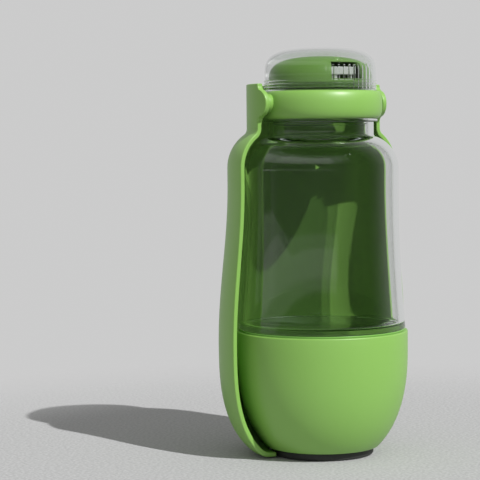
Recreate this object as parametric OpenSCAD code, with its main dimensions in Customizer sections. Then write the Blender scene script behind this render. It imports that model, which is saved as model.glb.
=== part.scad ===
// Dog travel water bottle with a flip-up drinking trough.
// Millimetres. The origin is the middle of the foot's underside and +Z is up.
// The pouring window faces -Y, the trough closes over the +Y half of the bottle,
// and the trough's hinge axis runs along X through the collar.

/* [Whole bottle] */
// Height of the whole bottle with its lid on
total_h = 218.2; // [206:0.1:240]

/* [Foot] */
// Radius of the rubber foot
foot_r = 27.5; // [24:0.5:30]
// Thickness of the rubber foot below the bowl
foot_h = 4.3; // [2:0.1:5]
// Radius of the spigot that centres the foot in the bowl
spigot_r = 22; // [14:1:24]
// Height of that spigot
spigot_h = 1.2; // [0.6:0.2:1.6]
// Depth of the anti-slip rings in the foot's underside
tread_depth = 0.5; // [0.2:0.1:1]
// Distance between two anti-slip rings
tread_pitch = 3; // [2:0.5:5]
// Width of an anti-slip ring
tread_w = 1; // [0.6:0.2:1.6]

/* [Food bowl] */
// Outer radius of the bowl at its rim
bowl_r = 46.2; // [44:0.2:50]
// Height of the bowl from its underside to its rim
bowl_h = 62.7; // [54:0.1:80]
// Height of the straight band below the rim
bowl_band = 9; // [4:1:14]
// Wall thickness of the bowl
bowl_wall = 2.6; // [1.8:0.2:3.2]
// Thickness of the bowl's floor
bowl_floor = 2.4; // [2:0.2:4]
// Squareness of the bowl's side curve: 2 is an ellipse
bowl_form = 2.4; // [2.2:0.1:3.4]
// Margin of the bowl's flat underside round the foot
foot_margin = 2.6; // [0.5:0.1:3]
// Turn that frees the bowl from the bottle, in degrees
bowl_turn = 45; // [40:1:50]

/* [Bayonet] */
// How far the bottle's lugs and the bowl's ledges stand out
lug_out = 1.6; // [1:0.2:2]
// Thickness of a lug
lug_t = 3; // [2:0.5:4]
// Angle that one lug spans, in degrees
lug_span = 28; // [20:1:32]
// Angle by which a ledge is longer than a lug
ledge_over = 2; // [1:1:4]
// Thickness of a ledge
ledge_t = 2.5; // [1.5:0.5:3]
// Width of the stop rib beside each lug, in degrees
stop_span = 4; // [3:1:6]
// Length of the skirt that the bottle plugs into the bowl
skirt_h = 13; // [12:0.5:18]
// Thickness of that skirt
skirt_t = 2.6; // [2:0.2:3.4]
// Thickness of the flat seal between bowl and bottle
seal_t = 1; // [0.6:0.2:2]
// Width of that seal
seal_w = 2.8; // [2:0.2:3]

/* [Bottle] */
// Radius of the bottle at its waist
waist_r = 41.6; // [40:0.2:42.4]
// Depth of the waist below the bottle's mouth
waist_down = 53; // [48:1:60]
// Radius of the long arc that the side follows from the waist down
side_arc = 800; // [700:10:1500]
// Depth below the mouth where the shoulder begins to turn
shoulder_down = 41.6; // [38:0.2:46]
// Radius of the shoulder
shoulder_r = 18.5; // [17:0.5:20]
// Outer radius of the neck
neck_r = 28.5; // [27.5:0.1:29]
// Fillet between shoulder and neck
neck_fillet = 1.5; // [1:0.5:3]
// Wall thickness of the bottle
bottle_wall = 3.1; // [2.4:0.1:3.4]
// Thickness of the bottle's floor
bottle_floor = 2.2; // [2:0.2:5]
// Inside corner radius at the floor
floor_fillet = 2; // [1.5:0.5:10]
// How far the bead under the collar stands out
bead_out = 2; // [1:0.2:2.4]
// Thickness of that bead
bead_t = 1.6; // [1:0.2:2.4]

/* [Hinge collar] */
// Height of the collar
collar_h = 14.8; // [14:0.2:17]
// How far the collar's belly stands out from the neck
collar_out = 4.7; // [4.1:0.1:5.1]
// How far the collar's flat top stands out from the neck
collar_top_out = 1.7; // [1.3:0.1:2.5]
// Squareness of the collar's barrel curve: 2 is an ellipse
collar_form = 2.2; // [2:0.1:3]
// Height of the hinge axis above the collar's underside
hinge_up = 8.3; // [7.6:0.1:8.6]
// Radius of the hinge boss on the collar
boss_r = 5; // [4.8:0.2:6.2]
// How far the boss's face stands out from the neck
boss_out = 7.1; // [6.5:0.1:7.4]
// Width of a key that stops the collar turning on the neck
key_w = 3; // [2:0.5:5]
// Height of that key above the neck's surface
key_out = 0.8; // [0.4:0.1:1.2]

/* [Hinge hardware] */
// Radius of the hinge pin
pin_r = 2; // [1.5:0.1:2.4]
// Depth of the pin in the collar
pin_grip = 6; // [4:0.2:6.2]
// Chamfer on the pin's ends
pin_chamfer = 0.4; // [0.2:0.1:0.6]
// Outer radius of the bush in the trough's ear
bush_r = 3.4; // [3:0.1:4]
// Length of that bush
bush_l = 2.1; // [1.6:0.1:2.2]
// Outer radius of the washer between ear and boss
washer_r = 4.8; // [4.4:0.2:5.6]
// Thickness of that washer
washer_t = 0.7; // [0.5:0.1:0.8]

/* [Trough] */
// Largest radius of the trough
trough_r = 55.7; // [54:0.2:58]
// Depth of that largest radius below the bowl's rim
belly_down = 7; // [2:1:12]
// Radius of the trough at its waist
trough_waist_r = 50.1; // [49.6:0.2:52]
// Depth of that waist below the hinge axis
trough_waist_down = 42.5; // [38:0.5:50]
// Depth below the hinge axis where the trough's shoulder begins to turn
trough_shoulder_down = 34; // [31:0.5:36]
// Radius of the trough's shoulder
trough_shoulder_r = 21.7; // [21:0.1:23]
// Thickness that the flat inside of the ear adds to the trough's neck
ear_gap = 0.8; // [0.7:0.1:1.6]
// Fillet between the trough's shoulder and neck
trough_fillet = 4; // [2:0.5:6]
// Height of the trough's top edge above the hinge axis
trough_top_up = 10.4; // [9.8:0.2:12]
// Wall thickness of the trough
trough_wall = 2.4; // [1.6:0.1:2.4]
// Clearance between the trough's end wall and the floor
trough_lift = 0.6; // [0.4:0.2:1.2]
// Squareness of the trough's lower curve: 2 is an ellipse
trough_form = 2.8; // [2.5:0.1:4.2]
// Depth to which that curve would run without the end wall
trough_deep = 67.8; // [64:0.2:72]
// Softness of the bend from that curve into the end wall
trough_soft = 1.6; // [0.8:0.2:3]
// Clearance between the foot and the notch in the end wall
notch_gap = 2; // [1.5:0.5:3]
// Radius of the ear round the hinge axis
ear_r = 7.2; // [6.8:0.1:7.8]
// Fillet where the ear runs into the trough's edge
ear_fillet = 3; // [2:0.5:3]

/* [Spout] */
// How far the spout's side lies inside the neck's outer face
dome_in = 1; // [0.3:0.1:1.5]
// Height of the flange
flange_h = 4.2; // [4:0.1:5.5]
// Height of the dome above its flange
dome_h = 14.2; // [12:0.1:14.4]
// Squareness of the dome's curve: 2 is an ellipse
dome_form = 2.7; // [2.3:0.1:3]
// Wall thickness of the dome
dome_wall = 1.8; // [1.4:0.1:2.2]
// Length of the threaded plug below the flange
plug_l = 10; // [8:0.5:12]
// Wall thickness of the plug
plug_wall = 2.6; // [2:0.1:3]
// Half the angle that the pouring window spans, in degrees
window_half = 20.6; // [16:0.2:24]
// Height of the window's lower edge above the flange
window_up = 0.3; // [0.2:0.1:1]
// Height of the window
window_h = 9.1; // [7:0.1:9.5]
// Thickness of the gasket under the flange
gasket_t = 1.2; // [0.8:0.1:2]
// Height that the spout rises in one turn of its thread
thread_lead = 6; // [4:0.5:7]

/* [Outlet insert] */
// Thickness of the insert's plate
plate_t = 2; // [1.6:0.1:2.4]
// Half the angle that the splash baffle spans, in degrees
baffle_half = 19; // [14:0.5:20]
// Distance of the baffle's face behind the dome's side
baffle_back = 4.4; // [4.2:0.1:5.4]
// Thickness of the baffle
baffle_t = 1.8; // [1.2:0.1:2.2]
// Height of the baffle
baffle_h = 4.1; // [3:0.1:5]
// Height of the outlet slot below the baffle
slot_h = 3.2; // [2.4:0.1:3.6]
// Corner radius of the baffle
baffle_corner = 1.2; // [0.6:0.1:1.4]
// Width of the insert's plate round the silicone slit valve
valve_margin = 15.8; // [14.6:0.1:17.6]
// Width of the valve's clamped rim
valve_rim = 2.2; // [1.6:0.1:3]
// Distance of the vent valve's middle from the insert's edge
vent_margin = 8.6; // [6.6:0.1:9]
// Radius of the vent valve's head
vent_r = 3.6; // [3:0.1:4]
// Thickness of that head in its middle
vent_head_t = 1.1; // [0.9:0.1:1.5]
// Length of the barb that holds the vent valve
barb_l = 1.2; // [0.8:0.1:1.6]
// How far that barb stands out
barb_out = 0.5; // [0.3:0.1:0.8]

/* [Dust lid] */
// How far the lid's side stands out from the bottle's neck
lid_out = 1.3; // [0.9:0.1:1.5]
// Wall thickness of the lid
lid_wall = 1.3; // [1:0.1:1.4]
// Height of the lid
lid_h = 23.2; // [22.8:0.1:23.8]
// Height of the lid's straight skirt
lid_skirt = 8; // [7.5:0.5:9]
// Squareness of the lid's curve: 2 is an ellipse
lid_form = 3.3; // [2.6:0.1:3.4]
// How far the skirt's beads stand out
lid_bead_out = 0.5; // [0.2:0.1:0.6]
// Width of a bead at its foot
lid_bead_w = 0.8; // [0.6:0.1:1]
// Height of the first bead above the lid's lower edge
lid_bead_up = 0.6; // [0.5:0.1:1]
// Number of beads
lid_beads = 4; // [2:1:4]
// Distance between two beads
lid_bead_pitch = 1.6; // [1.4:0.1:1.7]
// Number of thumb ribs at the front
thumb_ribs = 10; // [4:2:12]
// Angle between two thumb ribs, in degrees
thumb_pitch = 6; // [5:0.5:7]
// Radius of a thumb rib
thumb_rib_r = 0.6; // [0.4:0.1:0.7]
// Height of a thumb rib above the lid's lower edge
thumb_rib_h = 13; // [10:0.5:14]
// Height of the lid's silicone seal
lid_seal_h = 1.6; // [1:0.1:2]
// Depth of that seal in the lid's wall
lid_seal_in = 0.4; // [0.3:0.1:0.6]

/* [Fits] */
// Gap between curved faces that move past each other
move_gap = 0.4; // [0.3:0.05:0.6]
// Radial clearance of the pin in its bush
running = 0.05; // [0.02:0.01:0.09]
// Radial clearance of pieces pressed or glued together
seat = 0.04; // [0.02:0.01:0.08]
// Play of the bayonet's ledges over its lugs
ledge_play = 0.2; // [0.1:0.1:0.5]
// Gap between a silicone lip at rest and the face it seals on
lip_gap = 0.3; // [0.25:0.05:0.4]

/* [Hidden] */
$fn = 96;

green = [0.45, 0.70, 0.30];
clear = [0.86, 0.89, 0.90, 0.35];
white = [0.90, 0.90, 0.88];
silicone = [0.80, 0.84, 0.84, 0.8];
dark_rubber = [0.11, 0.12, 0.10];
steel = [0.72, 0.73, 0.75];
acetal = [0.93, 0.92, 0.88];

curve_steps = 14;  // segments of a long curve
bend_steps = 6;    // segments of a fillet
eps = 0.5;         // overlap of solids that are fused

// Heights, from the floor up
rim_z = foot_h + bowl_h;
base_z = rim_z + seal_t;
mouth_z = total_h - lid_h;
bottle_h = mouth_z - base_z;
collar_z = mouth_z - collar_h;
hinge_z = collar_z + hinge_up;
flange_z = mouth_z + gasket_t;
dome_z = flange_z + flange_h;
lid_z = mouth_z;
lid_curve_z = lid_z + lid_skirt;

// Bottle
waist_up = bottle_h - waist_down;
shoulder_up = bottle_h - shoulder_down;

// Bowl and bayonet
bowl_in_r = bowl_r - bowl_wall;
bowl_foot_r = foot_r + foot_margin;
band_z = rim_z - bowl_band;
bowl_drop = (band_z - foot_h) / superside(bowl_foot_r / bowl_r, bowl_form);
lug_r = bowl_in_r - move_gap;
skirt_r = lug_r - lug_out;
skirt_z = base_z - skirt_h;
lug_z = skirt_z + eps;
ledge_z = lug_z + lug_t + ledge_play;
ledge_r = skirt_r + move_gap;
ledge_span = lug_span + ledge_over;
lug_count = 4;

// Collar and hinge
collar_r = neck_r + collar_out;
collar_top_r = neck_r + collar_top_out;
boss_face = neck_r + boss_out;
washer_face = boss_face + washer_t;
bush_hole_r = bush_r + seat;
trough_in_r = washer_face + ear_gap;
trough_neck_r = trough_in_r + trough_wall;
ear_root = sqrt(pow(ear_r + ear_fillet, 2) - pow(ear_fillet, 2));

// Trough
belly_z = rim_z - belly_down;
trough_waist_z = hinge_z - trough_waist_down;
trough_shoulder_z = hinge_z - trough_shoulder_down;
notch_r = foot_r + notch_gap;

// Spout and lid
dome_r = neck_r - dome_in;
plug_r = neck_r - bottle_wall - move_gap;
plug_z = flange_z - plug_l;
ledge_up = dome_z - plate_t - move_gap;
insert_r = plug_r - move_gap;
baffle_r = dome_r - baffle_back;
baffle_z = ledge_up + plate_t + slot_h;
valve_r = insert_r - valve_margin;
vent_off = insert_r - vent_margin;
lid_r = neck_r + lid_out;
lid_in_r = lid_r - lid_wall;

// Height of a superellipse of unit size at x, its exponent being p
function superside(x, p) = pow(1 - pow(x, p), 1 / p);
// Quarter of a superellipse with half axes a and b, from angle t0 to t1
function supercurve(a, b, p, t0, t1) =
    [for (i = [0 : curve_steps]) let (t = t0 + (t1 - t0) * i / curve_steps)
        [a * pow(max(cos(t), 0), 2 / p), b * pow(max(sin(t), 0), 2 / p)]];
// Angle of a superellipse at which it is x from the middle, or y up
function angle_at_x(x, a, p) = acos(pow(x / a, p / 2));
function angle_at_y(y, b, p) = asin(pow(y / b, p / 2));
// Arc round c with radius r, from angle t0 to t1
function arc(c, r, t0, t1, n) =
    [for (i = [0 : n]) let (t = t0 + (t1 - t0) * i / n) c + r * [cos(t), sin(t)]];
function moved(points, d) = [for (p = points) p + d];
function flipped(points) = [for (p = points) [p.x, -p.y]];
function reversed(points) = [for (i = [len(points) - 1 : -1 : 0]) points[i]];

// Shoulder arc round [cx, cz] that a fillet joins to a neck, set in by t from the outer face
function shoulder_line(cx, cz, r, neck, fillet, t) =
    let (fx = neck + fillet,
         fz = cz + sqrt(pow(r + fillet, 2) - pow(fx - cx, 2)),
         turn = atan2(fz - cz, fx - cx))
    concat(arc([cx, cz], r - t, 0, turn, curve_steps),
           arc([fx, fz], fillet + t, turn + 180, 180, bend_steps));

// Side of the bottle, from a height above the seal face up to the neck, set in by t
function bottle_side(from_up, t) =
    concat([for (i = [0 : curve_steps - 1]) let (up = from_up + (shoulder_up - from_up) * i / curve_steps)
               [waist_r + pow(up - waist_up, 2) / (2 * side_arc) - t, base_z + up]],
           shoulder_line(bottle_top_r - shoulder_r, base_z + shoulder_up, shoulder_r,
                         neck_r, neck_fillet, t));
bottle_top_r = waist_r + pow(shoulder_up - waist_up, 2) / (2 * side_arc);
floor_side_up = bottle_floor + floor_fillet;
floor_side_r = waist_r + pow(floor_side_up - waist_up, 2) / (2 * side_arc) - bottle_wall;

// Height z, kept above the height z0 by a soft bend
function kept_above(z, z0, soft) = z0 + (z - z0 + sqrt(pow(z - z0, 2) + pow(soft, 2))) / 2;

// Side of the trough from its end wall up to its neck, set in by t from the outer face
function trough_side(t) =
    let (a = trough_r - t, b = trough_deep - t)
    concat([for (p = supercurve(a, b, trough_form, angle_at_x(notch_r, a, trough_form), 0))
               [p.x, kept_above(belly_z - p.y, trough_lift + t, trough_soft)]],
           [for (i = [1 : curve_steps - 1]) let (s = i / curve_steps)
               [(trough_r + trough_waist_r) / 2 + (trough_r - trough_waist_r) / 2 * cos(180 * s) - t,
                belly_z + (trough_waist_z - belly_z) * s]],
           [[trough_waist_r - t, trough_waist_z]],
           shoulder_line(trough_waist_r - trough_shoulder_r, trough_shoulder_z, trough_shoulder_r,
                         trough_neck_r, trough_fillet, t));

// Puts a solid that was built along +Z from the hinge centre on one side of the collar
module on_hinge(side) {
    translate([0, 0, hinge_z]) rotate([0, side * 90, 0]) children();
}

// Flat ring between two radii
module ring(r_out, r_in, z, h) {
    translate([0, 0, z]) difference() {
        cylinder(r = r_out, h = h);
        translate([0, 0, -eps]) cylinder(r = r_in, h = h + 2 * eps);
    }
}

// Sector of a ring, centred on the +X direction
module sector(r_out, r_in, z, h, span) {
    translate([0, 0, z]) rotate([0, 0, -span / 2]) rotate_extrude(angle = span)
        translate([r_in, 0]) square([r_out - r_in, h]);
}

// Clear bottle: one revolved wall with neck, floor and plug-in skirt
module bottle_shell() color(clear) difference() {
    union() {
        rotate_extrude() polygon(concat(
            [[0, base_z], [skirt_r - skirt_t, base_z], [skirt_r - skirt_t, skirt_z], [skirt_r, skirt_z],
             [skirt_r, base_z]],
            bottle_side(0, 0),
            [[neck_r, mouth_z], [neck_r - bottle_wall, mouth_z]],
            reversed(bottle_side(floor_side_up, bottle_wall)),
            arc([floor_side_r - floor_fillet, base_z + floor_side_up], floor_fillet, 0, -90, bend_steps),
            [[0, base_z + bottle_floor]]));
        ring(neck_r + bead_out, neck_r - eps, collar_z - bead_t, bead_t);
        for (i = [0 : lug_count - 1]) rotate([0, 0, i * 360 / lug_count])
            sector(lug_r, skirt_r - eps, lug_z, lug_t, lug_span);
        for (side = [-1, 1]) rotate([0, 0, 90 * side])
            translate([neck_r - eps, -key_w / 2, collar_z]) cube([eps + key_out, key_w, collar_h / 2]);
    }
}

// Flat silicone seal that the bottle's base squeezes on the bowl's rim
module base_seal() color(silicone) ring(skirt_r + seat + seal_w, skirt_r + seat, rim_z, seal_t);

// Barrel-shaped collar with two bosses that hold the hinge pins
module hinge_collar() color(green) {
    half_h = collar_h / 2;
    middle = [collar_top_r, collar_z + half_h];
    upper = supercurve(collar_r - collar_top_r, half_h, collar_form, 90, 0);
    lower = [for (i = [curve_steps - 1 : -1 : 0]) [upper[i].x, -upper[i].y]];
    bore_r = neck_r + seat;
    difference() {
        union() {
            rotate_extrude() polygon(concat(
                moved(concat(upper, lower), middle), [[bore_r - eps, collar_z], [bore_r - eps, mouth_z]]));
            for (side = [-1, 1]) on_hinge(side) translate([0, 0, neck_r])
                cylinder(r = boss_r, h = boss_face - neck_r);
        }
        translate([0, 0, collar_z - eps]) cylinder(r = bore_r, h = collar_h + 2 * eps);
        for (side = [-1, 1]) {
            on_hinge(side) translate([0, 0, boss_face - pin_grip - seat])
                cylinder(r = pin_r + seat, h = pin_grip + eps);
            rotate([0, 0, 90 * side]) translate([neck_r - eps, -key_w / 2 - seat, collar_z - eps])
                cube([2 * eps + key_out + seat, key_w + 2 * seat, collar_h / 2 + eps + seat]);
        }
    }
}

// Steel pin with chamfered ends, pressed in the collar and turning in the ear's bush
module pivot_pin(side) color(steel) on_hinge(side) rotate_extrude() polygon([
    [0, boss_face - pin_grip], [pin_r - pin_chamfer, boss_face - pin_grip],
    [pin_r, boss_face - pin_grip + pin_chamfer],
    [pin_r, washer_face + bush_l - pin_chamfer],
    [pin_r - pin_chamfer, washer_face + bush_l], [0, washer_face + bush_l]]);

// Washer that spaces the ear from the collar's boss
module ear_washer(side) color(dark_rubber)
    on_hinge(side) ring(washer_r, pin_r + 2 * running, boss_face, washer_t);

// Bush in the ear
module ear_bush(side) color(acetal)
    on_hinge(side) ring(bush_r, pin_r + running, washer_face, bush_l);

// Outline of an ear across the hinge axis: a disc that two fillets join to the trough's edge,
// and behind that edge a plate that runs back until the round neck takes over
module ear_outline() {
    turn = atan2(ear_root, -ear_fillet);
    plate_w = sqrt(pow(trough_in_r + eps, 2) - pow(washer_face, 2));
    polygon(concat(
        [[plate_w, -ear_root], [plate_w, trough_top_up], [0, trough_top_up]],
        arc([-ear_fillet, ear_root], ear_fillet, 0, turn - 180, bend_steps),
        arc([0, 0], ear_r, turn, 360 - turn, 2 * curve_steps),
        arc([-ear_fillet, -ear_root], ear_fillet, 180 - turn, 0, bend_steps)));
}

// Half shell that closes over the back of the bottle and flips up to drink from
module trough_shell() color(green) {
    top_z = hinge_z + trough_top_up;
    difference() {
        union() {
            rotate_extrude(angle = 180) polygon(concat(
                trough_side(0),
                [[trough_neck_r, top_z], [trough_in_r, top_z]],
                reversed(trough_side(trough_wall))));
            for (side = [-1, 1]) intersection() {
                translate([0, 0, hinge_z - ear_root - eps])
                    cylinder(r = trough_neck_r, h = ear_root + trough_top_up + 2 * eps);
                translate([side > 0 ? washer_face : -trough_neck_r - eps, 0, hinge_z])
                    rotate([90, 0, 90]) linear_extrude(trough_neck_r - washer_face + eps) ear_outline();
            }
        }
        for (side = [-1, 1]) on_hinge(side)
            translate([0, 0, washer_face - eps]) cylinder(r = bush_hole_r, h = eps + bush_l + seat);
    }
}

// Food bowl that the bottle locks into
module food_bowl() color(green) {
    inner_b = bowl_drop - bowl_wall;
    inner_floor = foot_h + bowl_floor;
    floor_angle = angle_at_y((band_z - inner_floor) / inner_b, 1, bowl_form);
    difference() {
        rotate_extrude() polygon(concat(
            [[0, foot_h]],
            moved(flipped(supercurve(bowl_r, bowl_drop, bowl_form,
                                     angle_at_x(bowl_foot_r, bowl_r, bowl_form), 0)), [0, band_z]),
            [[bowl_r, rim_z], [bowl_in_r, rim_z]],
            moved(flipped(supercurve(bowl_in_r, inner_b, bowl_form, 0, floor_angle)), [0, band_z]),
            [[0, inner_floor]]));
        translate([0, 0, foot_h - eps]) cylinder(r = spigot_r + seat, h = eps + spigot_h + seat);
    }
    for (i = [0 : lug_count - 1]) rotate([0, 0, i * 360 / lug_count]) {
        sector(bowl_in_r + eps, ledge_r, ledge_z, ledge_t, ledge_span);
        rotate([0, 0, (ledge_span + stop_span) / 2])
            sector(bowl_in_r + eps, ledge_r, lug_z, ledge_z + ledge_t - lug_z, stop_span);
    }
}

// Rubber foot with anti-slip rings
module foot_pad() color(dark_rubber) {
    edge = foot_h / 3;
    difference() {
        union() {
            rotate_extrude() polygon(concat(
                [[0, 0]], arc([foot_r - edge, edge], edge, -90, 0, bend_steps), [[foot_r, foot_h], [0, foot_h]]));
            translate([0, 0, foot_h - eps]) cylinder(r = spigot_r, h = eps + spigot_h);
        }
        for (r = [spigot_r / 2 : tread_pitch : foot_r - 3 * edge])
            translate([0, 0, -eps]) ring(r + tread_w, r, 0, eps + tread_depth);
    }
}

// Flat gasket between the bottle's mouth and the spout's flange
module spout_gasket() color(silicone) ring(dome_r, neck_r - bottle_wall + seat, mouth_z, gasket_t);

// Spout: dome with a pouring window, a flange and a plug that screws into the neck
module spout_dome() color(green) {
    inner_a = dome_r - dome_wall;
    inner_b = dome_h - dome_wall;
    difference() {
        rotate_extrude() polygon(concat(
            [[plug_r - plug_wall, plug_z], [plug_r, plug_z], [plug_r, flange_z], [dome_r, flange_z]],
            moved(supercurve(dome_r, dome_h, dome_form, 0, 90), [0, dome_z]),
            moved(reversed(supercurve(inner_a, inner_b, dome_form, 0, 90)), [0, dome_z]),
            [[insert_r + seat, dome_z], [insert_r + seat, ledge_up], [plug_r - plug_wall, ledge_up]]));
        rotate([0, 0, -90])
            sector(dome_r + eps, baffle_r - baffle_t, dome_z + window_up, window_h, 2 * window_half);
    }
}

// White insert: plate that carries the valves, and the baffle behind the window
module outlet_insert() color(white) {
    top = ledge_up + plate_t;
    post_w = 2;
    difference() {
        translate([0, 0, ledge_up]) cylinder(r = insert_r, h = plate_t);
        translate([0, 0, ledge_up - eps]) cylinder(r = valve_r - valve_rim, h = plate_t + 2 * eps);
        translate([0, 0, ledge_up + plate_t / 2]) cylinder(r = valve_r + seat, h = plate_t);
        translate([0, vent_off, ledge_up - eps]) cylinder(r = vent_r / 3 + seat, h = plate_t + 2 * eps);
    }
    intersection() {
        rotate([0, 0, -90]) sector(baffle_r, baffle_r - baffle_t, baffle_z, baffle_h, 2 * baffle_half);
        translate([0, 0, baffle_z]) rotate([90, 0, 0]) linear_extrude(baffle_r + eps)
            rounded_plate(2 * baffle_r * sin(baffle_half), baffle_h, baffle_corner);
    }
    for (side = [-1, 1]) rotate([0, 0, side * baffle_half * 2 / 3])
        translate([-post_w / 2, -baffle_r + baffle_t / 2, top - eps])
            cube([post_w, baffle_t + eps, eps + slot_h + baffle_h - baffle_corner]);
}

// Plate outline of width w that stands on y = 0, with round corners
module rounded_plate(w, h, r) {
    polygon(concat(
        arc([w / 2 - r, r], r, -90, 0, bend_steps), arc([w / 2 - r, h - r], r, 0, 90, bend_steps),
        arc([r - w / 2, h - r], r, 90, 180, bend_steps), arc([r - w / 2, r], r, 180, 270, bend_steps)));
}

// Silicone valve: a clamped rim and a thin dished middle that opens under pressure
module slit_valve() color(silicone) {
    z = ledge_up + plate_t / 2;
    opening = valve_r - valve_rim;
    skin = plate_t / 3;
    rotate_extrude() polygon([
        [0, z - skin / 2], [opening - seat, z], [valve_r, z], [valve_r, z + plate_t / 2],
        [opening, z + plate_t / 2], [opening - skin, z + skin], [0, z + skin / 2]]);
}

// Ring that clamps the valve's rim on the insert
module valve_ring() color(white)
    ring(valve_r + valve_rim, valve_r - valve_rim, ledge_up + plate_t, plate_t / 2);

// Umbrella valve that lets air back into the bottle
module vent_valve() color(silicone) translate([0, vent_off, 0]) {
    stem_r = vent_r / 3;
    rotate_extrude() polygon([
        [0, ledge_up - barb_l], [stem_r, ledge_up - barb_l], [stem_r + barb_out, ledge_up],
        [stem_r, ledge_up], [stem_r, ledge_up + plate_t], [vent_r, ledge_up + plate_t],
        [stem_r, ledge_up + plate_t + 0.8 * vent_head_t], [0, ledge_up + plate_t + vent_head_t]]);
}

// Clear dust lid with beads round its skirt and thumb ribs at the front
module dust_lid() color(clear) {
    curve_h = lid_h - lid_skirt;
    bead = lid_bead_w / 2 * [[0, -1], [0, -0.4], [0, 0.4], [0, 1]]
        + lid_bead_out * [[0, 0], [1, 0], [1, 0], [0, 0]];
    first_bead = lid_z + lid_bead_up;
    seal_z = lid_seal_z();
    rotate_extrude() polygon(concat(
        [[lid_in_r, lid_z], [lid_r, lid_z]],
        [for (i = [0 : lid_beads - 1], p = bead) p + [lid_r, first_bead + i * lid_bead_pitch]],
        moved(supercurve(lid_r, curve_h, lid_form, 0, 90), [0, lid_curve_z]),
        moved(reversed(supercurve(lid_in_r, curve_h - lid_wall, lid_form, 0, 90)), [0, lid_curve_z]),
        [[lid_in_r, seal_z + lid_seal_h + seat], [lid_in_r + lid_seal_in, seal_z + lid_seal_h + seat],
         [lid_in_r + lid_seal_in, seal_z - seat], [lid_in_r, seal_z - seat]]));
    for (i = [0 : thumb_ribs - 1]) rotate([0, 0, (i - (thumb_ribs - 1) / 2) * thumb_pitch])
        translate([0, -lid_r, lid_z]) cylinder(r = thumb_rib_r, h = thumb_rib_h);
}

// Silicone ring in the lid that grips the spout's flange
function lid_seal_z() = flange_z + (flange_h - lid_seal_h) / 2;
module lid_seal() color(silicone)
    ring(lid_in_r + lid_seal_in - seat, dome_r + lip_gap, lid_seal_z(), lid_seal_h);

bottle_shell();
base_seal();
hinge_collar();
pivot_pin(-1);  // pivot_pin_left
pivot_pin(1);  // pivot_pin_right
ear_washer(-1);  // ear_washer_left
ear_washer(1);  // ear_washer_right
trough_shell();
ear_bush(-1);  // ear_bush_left
ear_bush(1);  // ear_bush_right
food_bowl();
foot_pad();
spout_gasket();
spout_dome();
outlet_insert();
slit_valve();
valve_ring();
vent_valve();
dust_lid();
lid_seal();
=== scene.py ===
# %% [markdown]
# # A dog travel bottle, dressed over its CAD model
#
# The object is a clear water bottle that stands in a green food bowl. A green
# half shell hangs on a hinge collar behind it and flips up as a drinking trough,
# and a clear lid keeps the pouring spout clean. The CAD model fixes every size
# and every joint. This lesson builds the skins that are seen: each is a surface
# worked out from a formula, laid over the CAD piece that it stands for.

import math

import bmesh
import bpy
import numpy as np
from mathutils import Matrix


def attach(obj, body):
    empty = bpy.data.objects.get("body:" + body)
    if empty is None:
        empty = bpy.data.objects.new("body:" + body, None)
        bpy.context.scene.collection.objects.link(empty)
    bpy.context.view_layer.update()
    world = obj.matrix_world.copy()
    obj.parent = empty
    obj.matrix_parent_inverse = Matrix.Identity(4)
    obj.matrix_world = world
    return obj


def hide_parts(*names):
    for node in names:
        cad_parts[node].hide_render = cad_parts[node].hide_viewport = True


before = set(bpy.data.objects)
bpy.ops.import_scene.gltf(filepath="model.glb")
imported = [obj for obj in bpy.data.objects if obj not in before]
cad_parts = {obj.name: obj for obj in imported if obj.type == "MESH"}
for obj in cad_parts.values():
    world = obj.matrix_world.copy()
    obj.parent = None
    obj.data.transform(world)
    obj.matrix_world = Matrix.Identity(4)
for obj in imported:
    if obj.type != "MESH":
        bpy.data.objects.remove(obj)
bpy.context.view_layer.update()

# %% [markdown]
# ## Camera
#
# A product like this is seen from about its own height through a long lens, so
# that its sides stay nearly upright. The camera could be aimed with a Track To
# constraint, but a turn, a tilt and a roll that are given stay put when the
# scene is posed, so the three directions of its matrix are written directly.

# %% Camera
LENS_MM = 128.3
CAMERA_AZIMUTH = -34.0
CAMERA_DISTANCE = 0.92
EYE_HEIGHT = 0.1696
CAMERA_YAW, CAMERA_TILT, CAMERA_ROLL = 2.72, -3.357, -0.55


def aimed(place, forward, roll=0.0):
    """Matrix of a camera or lamp at place that looks along forward. Its sideways axis
    is forward x up, and roll turns it and the up axis about forward, in degrees."""
    forward = forward / np.linalg.norm(forward)
    side = np.cross(forward, (0, 0, 1))
    side /= np.linalg.norm(side)
    up = np.cross(side, forward)
    c, s = math.cos(math.radians(roll)), math.sin(math.radians(roll))
    matrix = np.eye(4)
    matrix[:3, 0], matrix[:3, 1] = c * side + s * up, c * up - s * side
    matrix[:3, 2], matrix[:3, 3] = -forward, place
    return Matrix(matrix.tolist())


def heading(azimuth, height=0.0):
    """Direction from the bottle's axis at an azimuth: (sin a, -cos a, height)."""
    a = math.radians(azimuth)
    return np.array((math.sin(a), -math.cos(a), height))


camera = bpy.data.objects.new("camera", bpy.data.cameras.new("camera"))
bpy.context.scene.collection.objects.link(camera)
camera.data.lens = LENS_MM
camera.matrix_world = aimed(
    CAMERA_DISTANCE * heading(CAMERA_AZIMUTH) + (0, 0, EYE_HEIGHT),
    -heading(CAMERA_AZIMUTH + CAMERA_YAW, -math.tan(math.radians(CAMERA_TILT))),
    CAMERA_ROLL)
bpy.context.scene.camera = camera
print("camera at", [round(v, 3) for v in camera.location])

# %% [markdown]
# ## Profiles
#
# Nearly every part of a moulded bottle is a section turned about an axis, so a
# section is the first thing to be able to write. It is a list of curves and
# corners; each corner is eased by a small arc, because no moulded edge is
# perfectly sharp and a soft edge is what catches the light. A Bevel modifier
# could ease the corners afterwards, but in the section the radius is exact and
# costs nothing. Sizes are in millimetres, as on a drawing.

# %% Section helpers
MM = 0.001
EASE_STEPS = 5


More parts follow.
